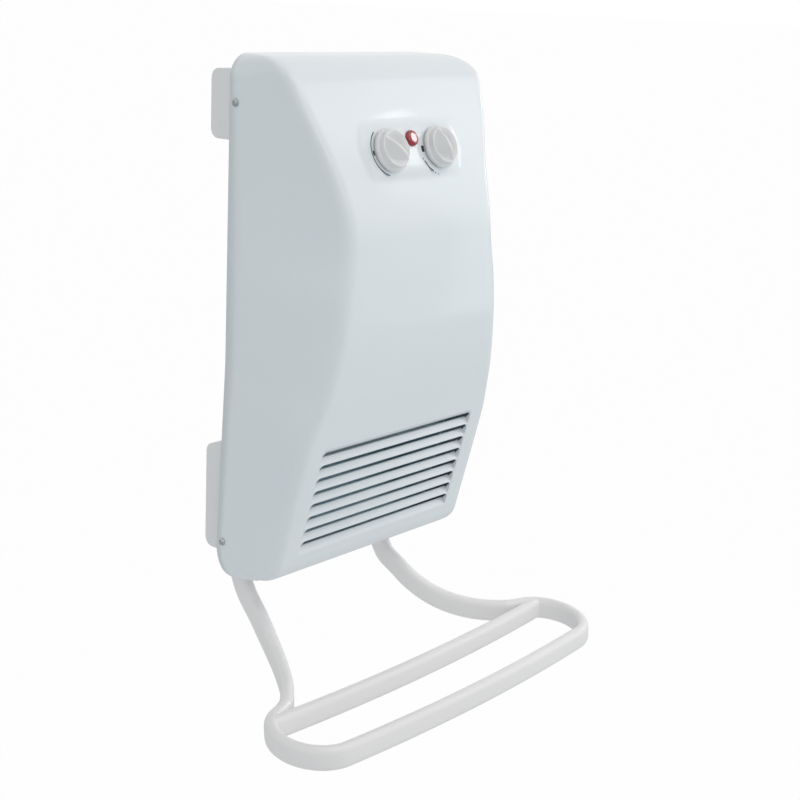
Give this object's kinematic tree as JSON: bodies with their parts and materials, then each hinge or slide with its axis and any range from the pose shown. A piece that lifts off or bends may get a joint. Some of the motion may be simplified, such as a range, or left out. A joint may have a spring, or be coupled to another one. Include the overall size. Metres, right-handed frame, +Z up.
{
  "type": "bathroom wall fan heater",
  "caption": "Wall fan heater for a bathroom: waved pressed cover with outlet louvres and two dials, on stand-off brackets, with a welded flat-oval towel rail below.",
  "frame": {"origin": "centre of the four wall screws, on the wall plane", "axes": "+X to the right as seen from the room, +Y towards the wall, +Z up"},
  "size_m": [0.4344, 0.2433, 0.5858],
  "materials": {
    "cover_enamel": "gloss",
    "chassis_steel": "satin",
    "bracket_paint": "satin",
    "screw_steel": "polished",
    "knob_white": "gloss",
    "shaft_steel": "satin",
    "switch_plastic": "matte",
    "mark_print": "matte",
    "lamp_red": "gloss",
    "lamp_holder": "matte",
    "impeller_plastic": "matte",
    "bearing_bronze": "satin",
    "housing_steel": "satin",
    "lamination_steel": "satin",
    "coil_tape": "satin",
    "mica_board": "matte",
    "rod_sheath": "satin",
    "cutout_ceramic": "matte",
    "terminal_plastic": "matte",
    "grommet_rubber": "matte",
    "wire_sheath": "matte",
    "rail_enamel": "gloss"
  },
  "bodies": {
    "housing": {"front_cover": "cover_enamel", "rear_chassis": "chassis_steel", "wall_bracket_upper": "bracket_paint", "wall_bracket_lower": "bracket_paint", "cover_screws": "screw_steel", "chassis_screws": "screw_steel", "thermostat_body": "switch_plastic", "selector_body": "switch_plastic", "control_bracket": "chassis_steel", "control_nuts": "screw_steel", "dial_marks": "mark_print", "lamp_lens": "lamp_red", "lamp_body": "lamp_holder", "fan_bearing": "bearing_bronze", "blower_housing": "housing_steel", "motor_stator": "lamination_steel", "motor_coil": "coil_tape", "motor_bracket": "chassis_steel", "heater_frame": "mica_board", "heating_rod": "rod_sheath", "thermal_cutout": "cutout_ceramic", "terminal_block": "terminal_plastic", "cable_grommet": "grommet_rubber", "earth_stud": "bearing_bronze", "wiring": "wire_sheath", "rail_arm_left": "rail_enamel", "rail_arm_right": "rail_enamel", "rail_loop": "rail_enamel", "rail_cross_bar": "rail_enamel", "rail_bolts": "screw_steel"},
    "thermostat_dial": {"thermostat_knob": "knob_white", "thermostat_shaft": "shaft_steel"},
    "selector_dial": {"selector_knob": "knob_white", "selector_shaft": "shaft_steel"},
    "fan_rotor": {"fan_impeller": "impeller_plastic", "fan_shaft": "shaft_steel", "motor_rotor": "lamination_steel"}
  },
  "joints": [
    {"name": "thermostat_turn", "type": "hinge", "parent": "housing", "child": "thermostat_dial", "pos_m": [-0.034, -0.127, 0.147], "axis": [0, -0.9272, 0.3746], "range_deg": [-230, 40]},
    {"name": "selector_turn", "type": "hinge", "parent": "housing", "child": "selector_dial", "pos_m": [0.034, -0.127, 0.147], "axis": [0, -0.9272, 0.3746], "range_deg": [-180, 60]},
    {"name": "fan_spin", "type": "hinge", "parent": "housing", "child": "fan_rotor", "pos_m": [0, -0.08, -0.055], "axis": [1, 0, 0], "continuous": true}
  ]
}
